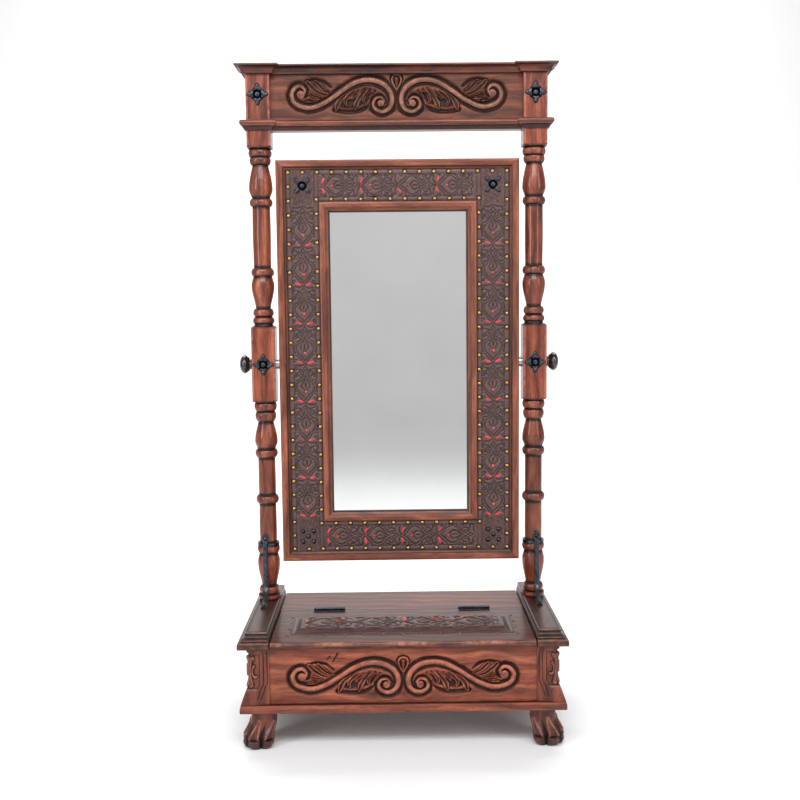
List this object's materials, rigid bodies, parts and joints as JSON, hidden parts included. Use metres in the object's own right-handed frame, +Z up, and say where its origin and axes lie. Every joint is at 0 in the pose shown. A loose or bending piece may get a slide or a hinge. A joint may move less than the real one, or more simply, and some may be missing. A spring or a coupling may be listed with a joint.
{
  "type": "cheval floor mirror",
  "caption": "Carved pine cheval floor mirror: tilting glass with a tooled leather border between turned posts, on a lidded chest with paw feet.",
  "frame": {"origin": "on the floor, at the middle of the whole object's footprint", "axes": "+Z up, +Y from the glass to the back, +X to the right as a person faces the glass"},
  "size_m": [0.946, 0.491, 1.9],
  "materials": {
    "stained_pine": "satin",
    "turned_pine": "gloss",
    "black_iron": "satin",
    "black_wood": "gloss",
    "zinc_steel": "satin",
    "antique_brass": "satin",
    "tooled_leather": "satin",
    "silvered_glass": "polished",
    "back_board": "matte"
  },
  "bodies": {
    "stand": {"left_post": "turned_pine", "right_post": "turned_pine", "header_board": "stained_pine", "header_cornice": "stained_pine", "header_front_bead": "stained_pine", "header_block_beads": "stained_pine", "post_rosettes": "black_iron", "chest_front_board": "stained_pine", "chest_back_board": "stained_pine", "chest_left_side": "stained_pine", "chest_right_side": "stained_pine", "chest_bottom_board": "stained_pine", "front_left_corner_block": "stained_pine", "front_right_corner_block": "stained_pine", "back_left_corner_block": "stained_pine", "back_right_corner_block": "stained_pine", "base_moulding_front": "stained_pine", "base_moulding_sides": "stained_pine", "front_left_foot": "stained_pine", "front_right_foot": "stained_pine", "back_left_foot": "stained_pine", "back_right_foot": "stained_pine", "left_rail_cap": "stained_pine", "right_rail_cap": "stained_pine", "left_rail_ledge": "stained_pine", "right_rail_ledge": "stained_pine", "deck_board": "stained_pine", "deck_support_rail": "stained_pine", "hinge_fixed_leaves": "black_iron", "hinge_pins": "black_iron", "left_brace": "black_iron", "right_brace": "black_iron", "brace_collars": "black_iron", "brace_screws": "black_iron", "pivot_washers": "zinc_steel"},
    "mirror": {"frame_left": "stained_pine", "frame_right": "stained_pine", "frame_top": "stained_pine", "frame_bottom": "stained_pine", "leather_border_left": "tooled_leather", "leather_border_right": "tooled_leather", "leather_border_top": "tooled_leather", "leather_border_bottom": "tooled_leather", "inner_frame_left": "stained_pine", "inner_frame_right": "stained_pine", "inner_frame_top": "stained_pine", "inner_frame_bottom": "stained_pine", "mirror_glass": "silvered_glass", "mirror_back_panel": "back_board", "border_tacks": "antique_brass", "border_rosettes": "black_iron", "pivot_inserts": "antique_brass"},
    "lid": {"lid_board": "stained_pine", "lid_leather_pad": "tooled_leather", "lid_tacks": "antique_brass", "hinge_moving_leaves": "black_iron"},
    "left_knob": {"left_knob": "black_wood", "left_clamp_bolt": "zinc_steel"},
    "right_knob": {"right_knob": "black_wood", "right_clamp_bolt": "zinc_steel"}
  },
  "joints": [
    {"name": "mirror_tilt", "type": "hinge", "parent": "stand", "child": "mirror", "pos_m": [0, 0.1025, 1.0405], "axis": [1, 0, 0], "range_deg": [-12, 20]},
    {"name": "lid_hinge", "type": "hinge", "parent": "stand", "child": "lid", "pos_m": [0, 0.0555, 0.3075], "axis": [-1, 0, 0], "range_deg": [0, 54]},
    {"name": "left_knob_turn", "type": "hinge", "parent": "mirror", "child": "left_knob", "pos_m": [-0.436, 0.1025, 1.0405], "axis": [-1, 0, 0], "range_deg": [0, 360]},
    {"name": "right_knob_turn", "type": "hinge", "parent": "mirror", "child": "right_knob", "pos_m": [0.436, 0.1025, 1.0405], "axis": [1, 0, 0], "range_deg": [0, 360]}
  ]
}
